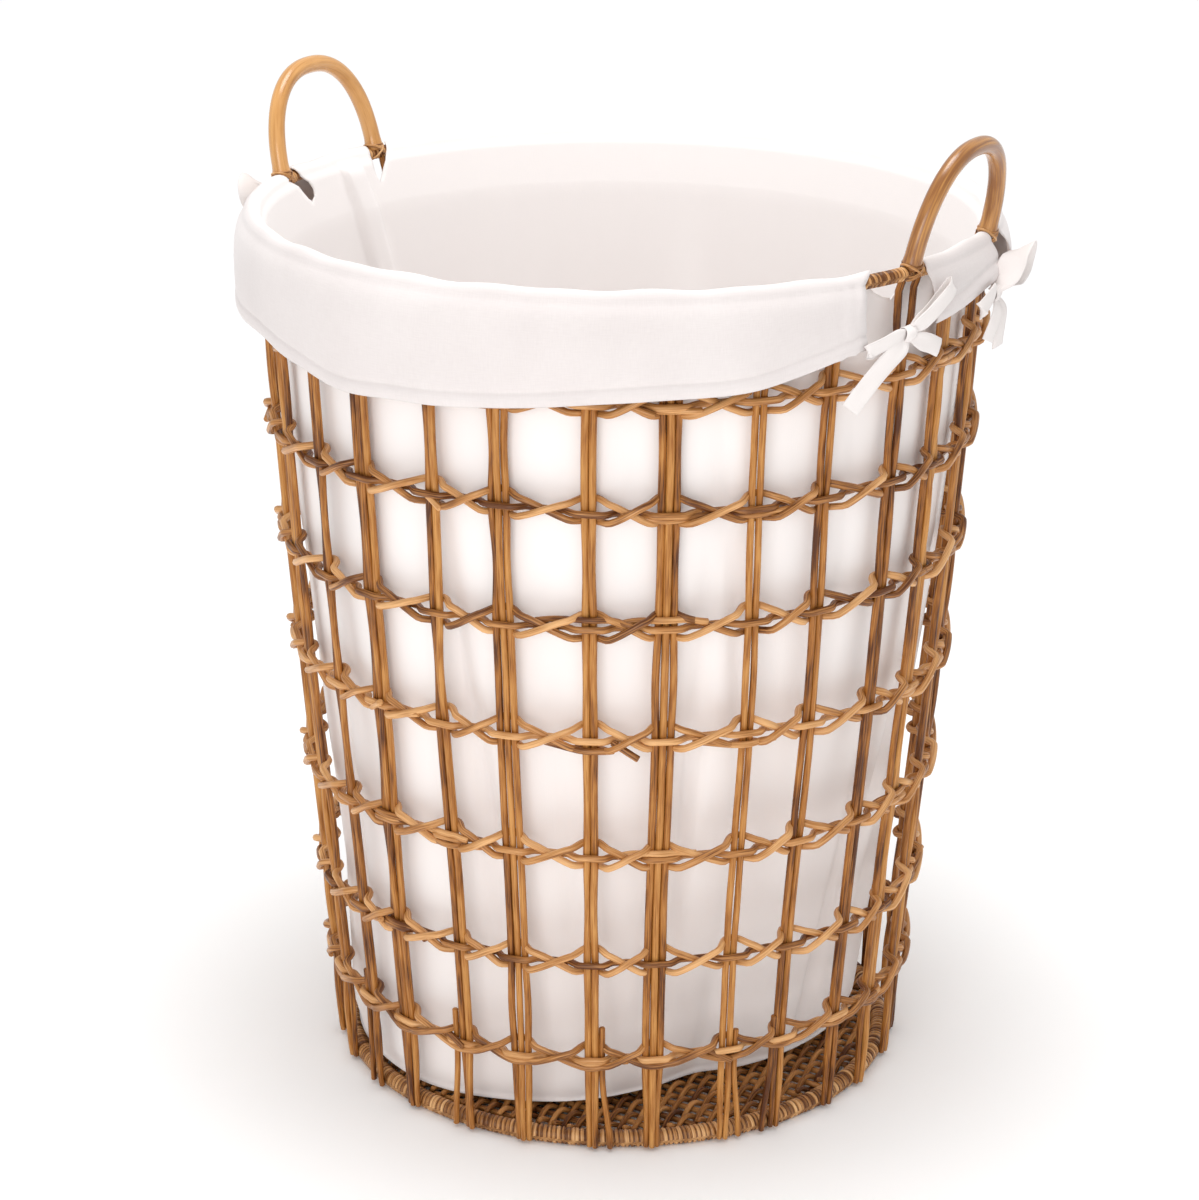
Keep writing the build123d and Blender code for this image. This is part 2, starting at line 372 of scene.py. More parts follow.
# %% Uprights
LEG_ANGLE = 360 / GROUPS
CANE = 2.42 * MM
CANE_PITCH = 4.85 * MM


def wander(x, count, rng, closed=True):
    """Smooth random line: a random value at each whole step, eased between them."""
    values = rng.uniform(-1, 1, count + 2)
    k = np.floor(x).astype(int)
    f = smooth_step(x - k)
    if closed:
        return values[k % count] * (1 - f) + values[(k + 1) % count] * f
    k = np.clip(k, 0, count)
    return values[k] * (1 - f) + values[k + 1] * f


def group_width(z, rng):
    """How wide a bundle stands, 1 is side by side: pinched between bands and at the foot."""
    marks = np.concatenate([[0.0], BAND_Z, [WALL_Z[-1]]])
    pinch = rng.choice([-0.16, 0.0, 0.10, 0.26], len(marks) - 1, p=[0.15, 0.4, 0.25, 0.2])
    span = np.clip(np.searchsorted(marks, z) - 1, 0, len(marks) - 2)
    part = (z - marks[span]) / (marks[span + 1] - marks[span])
    foot = 0.26 * smooth_step((0.045 - z) / 0.04)
    return 1 - pinch[span] * np.sin(np.pi * np.clip(part, 0, 1)) ** 2 - foot


def stake_group(index):
    """The rods of one bundle, in the frame of its own azimuth."""
    rng = np.random.default_rng(100 + index)
    points = node_points(f"stake_{index:02d}")
    middle = (points.min(0) + points.max(0)) / 2
    azimuth = math.degrees(math.atan2(middle[1], middle[0]))
    side = around(azimuth + 90)
    spread = np.ptp(points @ side) + 0.4 * MM
    canes = int(round(spread / (2 * STAKE_RADIUS + 0.4 * MM)))
    top = RIM_Z - 1.0 * MM
    z = np.linspace(3.0 * MM, top, 110)
    width = group_width(z, rng)
    at_leg = min(abs((azimuth % 180) - LEG_ANGLE), abs((azimuth % 180) - 180 + LEG_ANGLE)) < 1.5
    if at_leg:
        width = width + 2.1 * smooth_step((z - 0.535) / 0.03)
    sway = 1.8 * MM * wander(z / 0.16, 5, rng, closed=False) * smooth_step((top - z) / 0.05)
    thick = CANE * (1 - 0.2 * smooth_step((0.05 - z) / 0.045))
    bound = 3.2 * MM * smooth_step((z - top + 12 * MM) / (12 * MM))
    curl = -1.2 * MM * smooth_step((5 * MM - z) / (5 * MM))
    parts = []
    for i in range(canes):
        place = (i - (canes - 1) / 2) * CANE_PITCH
        gap = np.sqrt(np.maximum((2 * thick) ** 2 - (CANE_PITCH * width) ** 2, 0))
        over = gap * (0.5 if i % 2 else -0.5)
        across = place * width + sway + 0.2 * MM * wander(z / 0.05, 14, rng, closed=False)
        radius = wall_radius(z) + over + bound + curl
        path = around(azimuth, radius, z) + across[:, None] * side
        parts.append(cane_skin(path, thick * rng.uniform(0.94, 1.05), around(azimuth), rng))
    if index in (3, 5, 8, 11, 14, 18, 20, 22, 24, 26, 27):
        parts.append(foot_stub(azimuth, canes, side, rng))
    return put_together(parts), canes


def foot_stub(azimuth, canes, side, rng):
    """A short rod pushed in beside the bundle, cut off just above the lowest band."""
    z = np.linspace(3.0 * MM, rng.uniform(0.082, 0.102), 24)
    lean = rng.choice([-1, 1])
    splay = smooth_step((0.06 - z) / 0.06) * rng.uniform(1, 6) * MM
    across = lean * (canes * CANE_PITCH / 2 + 1.6 * MM + splay)
    radius = wall_radius(z) + rng.uniform(-1.5, 0.6) * MM
    path = around(azimuth, radius, z) + across[:, None] * side
    return cane_skin(path, CANE * 0.85, around(azimuth), rng)


cane_count = 0
for index in range(1, GROUPS + 1):
    skin, canes = stake_group(index)
    name = f"stake_{index:02d}"
    new_piece(name + "_canes", skin, UPRIGHT, "basket", [name])
    cane_count += canes
print(cane_count, "upright canes in", GROUPS, "bundles")

# %% [markdown]
# ## Woven bands
# Each level band is three rods. One runs in front of every upright. The other two pass behind
# the uprights, one high and one low, change places between them, and cross in front of the
# first rod. The rod that climbs to the right lies outermost. Seen from outside this leaves a
# row of eyes, one round each bundle. The lines are cosines of the bundle count: height swings
# between a high and a low place, and depth between behind and in front. The lowest band is a
# plainer one: its two weavers pass behind one bundle and in front of the next.

# %% Bands
WEAVER = 2.4 * MM
BEHIND = -4.4 * MM
IN_FRONT = 4.4 * MM
STEPS_PER_GAP = 24
turn = np.arange(GROUPS * STEPS_PER_GAP) / STEPS_PER_GAP


def band_azimuth(s):
    """Azimuth of bundle number s, in degrees, passing through the paired bundles."""
    return s * LEG_ANGLE - 0.6 * np.cos(np.pi * s)


def near_bundle(s, reach):
    """1 at a bundle, 0 between two, as an eased cosine; reach sets how wide the 1 is."""
    return smooth_step((np.cos(2 * np.pi * s) + reach) / (1.0 + 0.1))


def weaver_line(s, middle, even, odd, rng, rises):
    """Height and depth of a weaver: even and odd are (height, depth) at those bundles."""
    parity = (1 + np.cos(np.pi * s)) / 2
    beat = 1 + 0.13 * wander(s, GROUPS, rng)
    height = (even[0] * parity + odd[0] * (1 - parity)) * beat + 0.8 * MM * wander(s, GROUPS, rng)
    near = near_bundle(s, 0.0 if even[1] == odd[1] else 0.2)
    crossing = (4.7 - 2.0 * rises * np.sin(np.pi * s)) * MM
    depth = near * (even[1] * parity + odd[1] * (1 - parity)) + (1 - near) * crossing
    return band_place(s, middle + height, depth)


def band_place(s, z, depth):
    """The point at bundle number s, a height, and a depth outside the uprights' line."""
    return around(band_azimuth(s), wall_radius(z) + depth, z)


def lap(middle, rng):
    """A spare end laid beside the front rod, across one bundle, its tip standing off."""
    s = rng.integers(0, GROUPS) + np.linspace(-0.62, rng.uniform(0.3, 0.6), 18)
    far = np.abs(s - np.round(s.mean())) * 2
    lift = rng.choice([-1, 1]) * (3.9 - 2.5 * far**2) * MM
    depth = (4.3 - 5.2 * smooth_step(far)) * MM
    tip = smooth_step((np.linspace(0, 1, 18) - 0.75) / 0.25) * rng.uniform(2, 7) * MM
    return band_place(s, middle[0] + lift, depth + tip), around(band_azimuth(s))


def stub(middle, rng):
    """A cut end that sticks out where a weaver was joined."""
    start, u = rng.uniform(0, GROUPS), np.linspace(0, 1, 8)
    rise = rng.choice([-1, 1])
    s = start + u * rng.uniform(0.25, 0.5)
    lift = rise * (u * rng.uniform(5, 10) - 2) * MM
    return band_place(s, middle[0] + lift, (2.5 + 4.5 * u) * MM), around(band_azimuth(s))


def band(number):
    """The three rods of one band, with its laps and stubs."""
    rng = np.random.default_rng(500 + number)
    middle = BAND_Z[number - 1] + 2.0 * MM * wander(turn / 3.5, GROUPS * 2 // 7, rng)
    near = near_bundle(turn, 0.45)
    front = near * IN_FRONT - (1 - near) * 1.4 * MM
    level = middle - 0.6 * MM + 0.7 * MM * wander(turn, GROUPS, rng)
    high, low = (8.6 * MM, BEHIND), (-8.2 * MM, BEHIND)
    if number == 1:
        high, low, level = (9.5 * MM, BEHIND), (-4.4 * MM, IN_FRONT), level + 1.2 * MM
    outward = around(band_azimuth(turn))
    lines = [
        band_place(turn, level, front),
        weaver_line(turn, middle, high, low, rng, 1),
        weaver_line(turn, middle, low, high, rng, -1),
    ]
    parts = []
    for line in lines:
        thick = WEAVER * (1 + 0.08 * wander(turn / 2, GROUPS // 2, rng))
        parts.append(cane_skin(line, thick, outward, rng, closed=True))
    for make, count in ((lap, 10), (stub, 4)):
        for _ in range(count):
            line, facing = make(middle, rng)
            parts.append(cane_skin(line, WEAVER * rng.uniform(0.82, 1.0), facing, rng))
    return put_together(parts)


for number in range(1, 8):
    name = f"band_{number}"
    made = new_piece(name + "_weave", band(number), WOVEN, "basket", [name])
print("7 bands,", len(made.data.polygons), "faces in each")

# %% [markdown]
# ## Wrapped hoops
# The rim and the base are stiff hoops bound with split cane: a flat strip wound round and
# round, each turn against the last. The strip could be one long ribbon, but then the hoop
# would show between turns, so the wrap is one closed skin: a ring whose section swells and
# dips once for each turn. Its mesh lines follow the winding, so the dips are crisp.

# %% Wraps
WRAP = cane_finish("split_cane_wrap", "643812", "bd854d", "ebbb82", 0.2, 0.4, 0.5, 0.08)


def wrap_skin(ring_radius, height, tube, pitch, groove, seed, sides=18, steps=5):
    """Point at turn part p, round-angle v: the ring's angle is (p - v/2pi) pitches, and the
    section's radius is tube less a groove that is deepest where two turns meet."""
    rng = np.random.default_rng(seed)
    turns = int(round(2 * np.pi * ring_radius / pitch))
    p = np.arange(turns * steps) / steps
    v = np.arange(sides) * 2 * np.pi / sides
    number = np.floor(p).astype(int)
    swell = (1 - np.abs(2 * (p - number) - 1) ** 3) ** 0.5
    uneven = rng.normal(0, 0.18, turns)[number]
    section = tube - groove * (1 - swell) + groove * 0.35 * uneven * swell
    angle = (p[:, None] - v[None] / (2 * np.pi)) * 2 * np.pi / turns
    shift = rng.normal(0, 0.10, turns)[number] * swell
    angle = angle + (shift * 2 * np.pi / turns)[:, None]
    out = ring_radius + section[:, None] * np.cos(v)
    z = np.maximum(height + section[:, None] * np.sin(v), 0.3 * MM)
    points = np.stack([out * np.cos(angle), out * np.sin(angle), z], -1)
    grain = np.stack(np.broadcast_arrays(v[None] * tube, (p - number)[:, None] * pitch, 0.0), -1)
    grain = grain + rng.uniform(0, 5, (turns, 1, 3))[number]
    n = len(p)
    i, j = np.meshgrid(np.arange(n), np.arange(sides), indexing="ij")
    k, m = (i + 1) % n, (j + 1) % sides
    step = np.where(j == sides - 1, steps, 0)
    corner = [i * sides + j, k * sides + j, ((k + step) % n) * sides + m, ((i + step) % n) * sides + m]
    faces = np.stack(corner, -1).reshape(-1, 4)
    # Tone is each turn's own random tone, lowered by up to 1 towards the groove where two turns meet, so the wrap
    # is darker in its grooves.
    tone = np.repeat(rng.uniform(0, 1, turns)[number] - 1.0 * (1 - swell), sides)
    return {"points": points.reshape(-1, 3), "faces": [faces], "grain": grain.reshape(-1, 3), "tone": tone}


rim = wrap_skin(RIM_R, RIM_Z, RIM_TUBE, 3.2 * MM, 0.7 * MM, 21)
new_piece("rim_wrap_turns", rim, WRAP, "basket", ["rim_wrap", "rim_hoop"])
base = wrap_skin(BASE_R, BASE_Z, BASE_TUBE, 3.2 * MM, 1.1 * MM, 22)
new_piece("base_wrap_turns", base, WRAP, "basket", ["base_wrap", "base_hoop"])
print("wraps:", len(rim["faces"][0]), "and", len(base["faces"][0]), "faces")

# %% [markdown]
# ## Floor of the basket
# The bottom is a plain weave: stiff rods one way, and thinner ones that pass over one and
# under the next. Neighbouring weavers swing in opposite phase and also lean together in
# pairs, which leaves the small slots of light between them.

# %% Floor weave
# The floor canes are given a darker brown and less coat than the wall's canes.
FLOOR_CANE = cane_finish("dark_willow_floor", "522909", "a06a34", "cc9357", 0.1, 0.5)
FLOOR_R = BASE_R - BASE_TUBE - 0.2 * MM
WARP_PITCH, WARP_R = 18.5 * MM, 2.0 * MM
WEFT_PITCH, WEFT_R = 4.75 * MM, 1.95 * MM
FLOOR_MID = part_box("base_weft")[0].z - 0.3 * MM


def floor_rows(pitch, radius):
    """Places of parallel canes across the round floor, and how far each one reaches."""
    count = int(2 * (FLOOR_R - 2 * radius) / pitch) + 1
    place = (np.arange(count) - (count - 1) / 2) * pitch
    return place, np.sqrt(FLOOR_R**2 - (np.abs(place) + radius) ** 2)


def floor_weave():
    """Warps are straight along X. A weft's height is a cosine of the warps that it passes."""
    rng = np.random.default_rng(31)
    up = np.array([0.0, 0.0, 1.0])
    rows, reach = floor_rows(WARP_PITCH, WARP_R)
    warp = []
    for y, half in zip(rows, reach):
        x = np.linspace(-half, half, 30)
        path = np.stack([x, np.full(30, y), np.full(30, FLOOR_MID)], -1)
        warp.append(cane_skin(path, WARP_R, up, rng))
    phase = rows[0]
    weft = []
    places, reach = floor_rows(WEFT_PITCH, WEFT_R)
    for number, (x, half) in enumerate(zip(places, reach)):
        y = np.linspace(-half, half, max(24, int(2 * half / (2.6 * MM))))
        sign = 1 if number % 2 else -1
        swing = np.cos(np.pi * (y - phase) / WARP_PITCH)
        lean = np.sin(np.pi * (y - phase) / WARP_PITCH)
        z = FLOOR_MID + sign * (WARP_R + WEFT_R) * swing
        side = x + sign * 0.42 * MM * lean + 0.15 * MM * wander(y / 0.03 + 20, 40, rng)
        path = np.stack([side, y, z], -1)
        weft.append(cane_skin(path, WEFT_R * rng.uniform(0.94, 1.04), up, rng, sides=7))
    return put_together(warp), put_together(weft)


warp, weft = floor_weave()
new_piece("floor_warp", warp, FLOOR_CANE, "basket", ["base_warp"])
new_piece("floor_weft", weft, FLOOR_CANE, "basket", ["base_weft"])
print("floor weave", len(weft["points"]), "points")

# %% [markdown]
# ## Handles
# A handle is one thick pole cane, bent hot into an arch, sanded and varnished until it
# shines. The arch is a superellipse, which is fuller at the shoulders than a half circle.
# Its feet spread a little where they stand on the rim, and a thin strand lashes each foot
# with crossing turns that pass under the hoop on one side and round the leg on the other.

# %% Handles
POLE = cane_finish("varnished_pole_cane", "8f5a28", "c18847", "d9a160", 0.75, 0.28, 1.6, 0.05)
HANDLE_LEAN = 12.0
HANDLE_SHAPE = 2.3
leg_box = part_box("handle_right")
POLE_R = 5.75 * MM
HANDLE_HALF = leg_box[1].y - POLE_R
HANDLE_RISE = (leg_box[1].z - POLE_R * math.cos(math.radians(HANDLE_LEAN)) - RIM_Z) / math.cos(math.radians(HANDLE_LEAN))
FOOT_X = RIM_R * math.cos(math.radians(LEG_ANGLE))


def handle_space(y, up, out, side):
    """Handle place (y from leg to leg, up along the lean, out across it) to basket place."""
    lean = math.radians(HANDLE_LEAN)
    x = FOOT_X + up * math.sin(lean) + out * math.cos(lean)
    z = RIM_Z + up * math.cos(lean) - out * math.sin(lean)
    return np.stack(np.broadcast_arrays(side * x, side * y, z), -1)


def handle(side, seed):
    """The arch: (half span * |cos|^(2/m), rise * |sin|^(2/m)), walked at even steps."""
    rng = np.random.default_rng(seed)
    t = np.linspace(0, np.pi, 2001)
    power = 2 / HANDLE_SHAPE
    y = HANDLE_HALF * np.sign(np.cos(t)) * np.abs(np.cos(t)) ** power
    up = 3.2 * MM + (HANDLE_RISE - 3.2 * MM) * np.abs(np.sin(t)) ** power
    length = np.concatenate([[0], np.cumsum(np.hypot(np.diff(y), np.diff(up)))])
    even = np.linspace(0, length[-1], 130)
    y, up = np.interp(even, length, y), np.interp(even, length, up)
    foot = np.minimum(even, even[-1] - even)
    radius = POLE_R * (1 + 0.12 * smooth_step((9 * MM - foot) / (9 * MM)))
    radius = radius * (1 + 0.02 * wander(even / 0.02, 12, rng))
    path = handle_space(y, up, 0.6 * MM * np.sin(even / 0.05), side)
    outward = handle_space(0, 0, 1, side) - handle_space(0, 0, 0, side)
    return cane_skin(path, radius, outward, rng, sides=28)


def lashing(side, end, seed):
    """Tilted rings round one foot: centre + long * cos * tilt + short * sin * out."""
    rng = np.random.default_rng(seed)
    a = np.arange(56) * 2 * np.pi / 56
    parts = []
    for tilt, rise, shift in ((34, 1.2, 0.0), (-34, 1.4, 0.2), (29, 2.8, 0.1), (5, 5.6, 0.0)):
        tilt = math.radians(tilt + rng.uniform(-3, 3))
        long, short = (8.7 if abs(tilt) > 0.2 else 6.5) * MM, (6.6 + shift) * MM
        y = end * HANDLE_HALF + long * np.cos(a) * math.cos(tilt)
        up = rise * MM + long * np.cos(a) * math.sin(tilt)
        path = handle_space(y, up, short * np.sin(a), side)
        centre = path.mean(0)
        parts.append(cane_skin(path, 0.8 * MM, path - centre, rng, sides=6, closed=True, flat=0.6))
    return put_together(parts)


for name, side in (("right", 1), ("left", -1)):
    arch = handle(side, 40 + side)
    new_piece(f"handle_{name}_pole", arch, POLE, "basket", [f"handle_{name}"])
    for end_name, end in (("front", -1), ("back", 1)):
        node = f"lashing_{name}_{end_name}"
        strand = lashing(side, end * side, 60 + side * 2 + end)
        new_piece(node + "_strand", strand, WRAP, "basket", [node])
print(f"handle half span {HANDLE_HALF:.4f}, rise {HANDLE_RISE:.4f}")

# %% [markdown]
# ## Liner
# The liner is a round-bottomed bag of thin white cotton, a little larger than the basket. It
# stands loose on the floor, leans on the uprights, goes up over the rim, and is turned down
# outside as a deep cuff. Four slits let the legs of the handles through, and between the two
# slits of a handle a tab of cloth hangs over the rim. The whole bag is one surface of two
# parameters: a row number, from the middle of the bottom out and up to the hem, and a place
# round the basket. Four panels share the rows, and their edges part above each slit.

# %% Liner shape
HUG = RIM_TUBE + 1.1 * MM
SEAM_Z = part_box("liner_wall")[1].z
SEAM_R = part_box("liner_wall")[1].x - 0.6 * MM
rng_cloth = np.random.default_rng(7)

# Radius of the bag's bottom edge on the floor, by azimuth in degrees: slack on one side.
FLOOR_EDGE = np.array([
    (-180, 176), (-160, 182), (-145, 186), (-122, 187), (-104, 183), (-86, 170), (-67, 156),
    (-51, 139), (-33, 124), (-17, 134), (10, 154), (31, 168), (60, 162), (90, 172), (120, 166),
    (150, 174),
])
# Height of the cuff's hem, by azimuth in degrees.
HEM = np.array([
    (-168, 541), (-150, 537), (-128, 534), (-113, 528), (-102, 521), (-92, 523), (-76, 527),
    (-62, 533), (-55, 536), (-41, 539), (-34, 546), (-24, 556), (-11, 561), (-3, 567), (5, 573), (12, 573),
    (22, 558), (45, 542), (90, 526), (135, 532), (160, 541), (172, 545), (180, 541), (188, 545),
])
# Where a slit's two edges lie, in degrees from the leg, away from the handle's middle, at
# these steps of the turned-down top: slit foot, widening, hoop inside, crest, outside, hem.
SLIT_STEPS = (0.0, 0.55, 0.64, 0.80, 1.0, 3.0, 4.0, 4.45, 5.0)
SLITS = {
    "right_front": (-LEG_ANGLE, -1, (1.0, 1.0, 0.2, -0.9, -1.6, -2.1, -2.1, -2.4, -2.8),
                    (1.0, 1.0, 3.2, 5.5, 7.0, 8.4, 10.5, 11.6, 11.2)),
    "right_back": (LEG_ANGLE, 1, (-0.5, -0.5, -1.2, -1.8, -2.1, -2.2, -2.2, -2.6, -2.8),
                   (-0.5, -0.5, 0.3, 1.2, 2.0, 2.6, 4.0, 6.0, 7.0)),
    "left_back": (180 - LEG_ANGLE, -1, (-1.4, -1.4, -1.9, -2.3, -2.4, -2.3, -2.2, -2.6, -2.8),
                  (-1.4, -1.4, -0.9, -0.3, 0.6, 2.2, 4.0, 8.0, 9.0)),
    "left_front": (180 + LEG_ANGLE, 1, (-4.9, -4.9, -6.1, -6.2, -5.2, -2.4, -2.1, -2.4, -2.8),
                   (-4.9, -4.9, -3.8, -2.6, -1.2, 2.2, 4.0, 8.0, 9.0)),
}


def ease_through(x, marks, values):
    """Smooth line through marks, by cubic steps whose slopes are the means of their neighbours'."""
    x, marks, values = np.asarray(x, float), np.asarray(marks, float), np.asarray(values, float)
    slope = np.gradient(values, marks)
    k = np.clip(np.searchsorted(marks, x) - 1, 0, len(marks) - 2)
    h = marks[k + 1] - marks[k]
    t = np.clip((x - marks[k]) / h, 0, 1)
    return (
        (2 * t**3 - 3 * t**2 + 1) * values[k]
        + (t**3 - 2 * t**2 + t) * h * slope[k]
        + (3 * t**2 - 2 * t**3) * values[k + 1]
        + (t**3 - t**2) * h * slope[k + 1]
    )


def by_azimuth(table, azimuth):
    """A table of (degrees, millimetres) read at any azimuth, smoothly and all the way round."""
    order = np.argsort(table[:, 0] % 360)
    marks, values = (table[:, 0] % 360)[order], table[order, 1] * MM
    marks = np.concatenate([marks[-2:] - 360, marks, marks[:2] + 360])
    values = np.concatenate([values[-2:], values, values[:2]])
    return ease_through(azimuth % 360, marks, values)


def slit_edge(step, slit, cuff):
    """Azimuth of a slit's edge at a step of the top; below the slit both edges are one."""
    leg, sign, tab_side, cuff_side = SLITS[slit]
    return leg + sign * np.interp(step, SLIT_STEPS, cuff_side if cuff else tab_side)


# %% [markdown]
# Folds are what make a white surface read as cloth. They are soft ridges that start at one
# height, run nearly straight down, lean a little, and fade out. Each one is a bell curve
# across and a rise and fall along its length, and a few dozen of them are added up. A flat
# pleat by the left handle and puckers beside the ribbons are placed one by one.

# %% Liner folds


def bell(x):
    return np.exp(-(x**2))


def turned_by(azimuth, centre):
    """Degrees from a centre line, the short way round."""
    return (azimuth - centre + 180) % 360 - 180


def draw_folds(count, lean, width, depth, start, length):
    """Random ridges, drawn once so that all four panels share them and meet without a gap."""
    return [
        (rng_cloth.uniform(-180, 180), rng_cloth.normal(0, lean), rng_cloth.uniform(*width),
         rng_cloth.uniform(*depth) * MM, rng_cloth.uniform(*start), rng_cloth.uniform(*length))
        for _ in range(count)
    ]


FOLDS = draw_folds(46, 26, (1.5, 5.0), (2.0, 9.0), (0.0, 0.34), (0.08, 0.26))
FOLDS += draw_folds(34, 14, (1.0, 3.2), (0.4, 1.9), (0.38, 0.56), (0.05, 0.14))


def wall_folds(azimuth, z):
    """Sum of ridges: depth * bell(degrees / width) * bell(height / length)."""
    total = np.zeros(np.broadcast_shapes(np.shape(azimuth), np.shape(z)))
    for centre, lean, width, depth, start, length in FOLDS:
        line = centre + lean * (z - start)
        total += depth * bell(turned_by(azimuth, line) / width) * bell((z - start) / length)
    return total


def handle_pleat(azimuth, z):
    """A flat fold inside the left handle that leans as it goes down."""
    line = 176.0 - 70.0 * (0.600 - z)
    flat = smooth_step((2.9 - np.abs(turned_by(azimuth, line))) / 0.9)
    fade = smooth_step((z - 0.36) / 0.16) * smooth_step((0.604 - z) / 0.02)
    return 5.0 * MM * flat * fade


def liner_rows(azimuth_of):
    """Rows of (azimuth, radius, height) from the bottom's middle to the hem."""
    blocks = []
    step = np.zeros(1)
    azimuth = azimuth_of(step)
    edge = by_azimuth(FLOOR_EDGE, azimuth)
    for share in (0.02, 0.2, 0.4, 0.6, 0.75, 0.86, 0.93, 0.97, 0.99):
        lift = 0.9 * MM * (1 + np.sin(np.radians(azimuth * 5) + share * 7)) * share
        blocks.append((azimuth, edge * share, LINER_FLOOR_Z + lift))
    t = (np.arange(74) / 74)[:, None] ** 1.12
    z = LINER_FLOOR_Z + 1.5 * MM + (SEAM_Z - LINER_FLOOR_Z - 1.5 * MM) * t
    all_round = wall_folds(np.arange(-180.0, 180.0, 2.0)[None], z).mean(1, keepdims=True)
    azimuth, z, t = np.broadcast_arrays(azimuth, z, t)
    limit = wall_radius(z) - (wall_radius(SEAM_Z) - SEAM_R)
    swell = 1 - (1 - t) ** 2.7
    hang = edge + (limit - edge) * swell
    folds = wall_folds(azimuth, z)
    folds = (folds - 0.75 * all_round) * smooth_step((SEAM_Z + 0.02 - z) / 0.12)
    radius = hang - folds * smooth_step(t / 0.04) - handle_pleat(azimuth, z)
    corner = 3 * MM * np.sqrt(np.maximum(1 - t / 0.02, 0))
    blocks.append((azimuth, np.minimum(radius - corner, limit), z + 0 * azimuth))
    blocks.append(turned_down_top(azimuth_of))
    return [np.vstack([np.atleast_2d(b[k]) for b in blocks]) for k in range(3)]


TOP_ROWS = np.concatenate([
    np.linspace(0, 1, 15)[:-1], [1.0, 1.5], np.linspace(2, 4, 10),
    4 + np.linspace(0, 0.8, 22)[1:], 4 + np.linspace(0.8, 1, 15)[1:],
])


def turned_down_top(azimuth_of):
    """From the seam up beside the rim, over it, and down to the hem as a soft, full cuff."""
    step = TOP_ROWS
    azimuth = azimuth_of(step)
    hem = by_azimuth(HEM, azimuth)
    beside = WALL_R[-1] - STAKE_RADIUS - 2.1 * MM
    radius, z = np.zeros_like(azimuth), np.zeros_like(azimuth)
    inside = step <= 2
    radius[inside] = np.interp(step[inside], (0, 1, 2), (SEAM_R, beside, RIM_R - HUG))[:, None]
    z[inside] = np.interp(step[inside], (0, 1, 2), (SEAM_Z, WALL_Z[-1], RIM_Z))[:, None]
    over = (step > 2) & (step <= 4)
    angle = np.pi * (1 - (step[over] - 2) / 2)
    radius[over] = (RIM_R + HUG * np.cos(angle))[:, None]
    z[over] = (RIM_Z + HUG * np.sin(angle))[:, None]
    out = step > 4
    part = (step[out] - 4)[:, None]
    drop = (RIM_Z - hem[out]) * part
    marks = np.array((0, 5, 12, 22, 34, 50, 62, 75)) * MM
    bulge = np.array((0.0, 3.2, 5.4, 6.5, 6.3, 5.0, 3.0, 0.6)) * MM
    radius[out] = RIM_R + HUG + ease_through(drop, marks, bulge)
    z[out] = RIM_Z - drop
    wave = np.sin(np.radians(azimuth * 7 + 40)) + 0.7 * np.sin(np.radians(azimuth * 13 + 10 + 160 * step[:, None]))
    wave = wave + 0.5 * np.sin(np.radians(azimuth * 23 - 90 * step[:, None]))
    fall = np.clip(step - 4, 0, 1)[:, None]
    radius += 1.2 * MM * (wave + 0.3) * fall
    radius += 1.3 * MM * puckers(azimuth, step) * smooth_step((step[:, None] - 3.4) / 0.8)
    radius -= handle_pleat(azimuth, z) * (step[:, None] < 2)
    ridge = np.sin(np.radians(azimuth * 31)) + np.sin(np.radians(azimuth * 19 + 60))
    z += 0.5 * MM * (ridge + 0.9) * bell((step[:, None] - 3) / 0.7)
    above_hem = drop_from_hem(step, azimuth)
    roll = bell((above_hem - 4 * MM) / (3.4 * MM)) - 0.9 * bell((above_hem - 9.5 * MM) / (1.5 * MM))
    radius += 1.1 * MM * roll * (step[:, None] > 4.3)
    return azimuth, radius, z


def drop_from_hem(step, azimuth):
    """How far above the hem a row lies."""
    return (RIM_Z - by_azimuth(HEM, azimuth)) * np.clip(5 - step, 0, 1)[:, None]


def puckers(azimuth, step):
    """Small pleats beside each slit, where a ribbon gathers the cuff's end."""
    total = np.zeros_like(azimuth)
    for leg, sign, _, cuff_side in SLITS.values():
        away = sign * turned_by(azimuth, leg) - np.interp(step, SLIT_STEPS, cuff_side)[:, None]
        near = bell(away / 5.5) * (away > -0.5)
        total += near * np.sin(away * 2.6 + (step[:, None] - 4) * 3.0)
    return total


PANELS = (
    ("left_front", True, -360, "right_front", True, 0, 132),
    ("right_front", False, 0, "right_back", False, 0, 30),
    ("right_back", True, 0, "left_back", True, 0, 132),
    ("left_back", False, 0, "left_front", False, 0, 30),
)


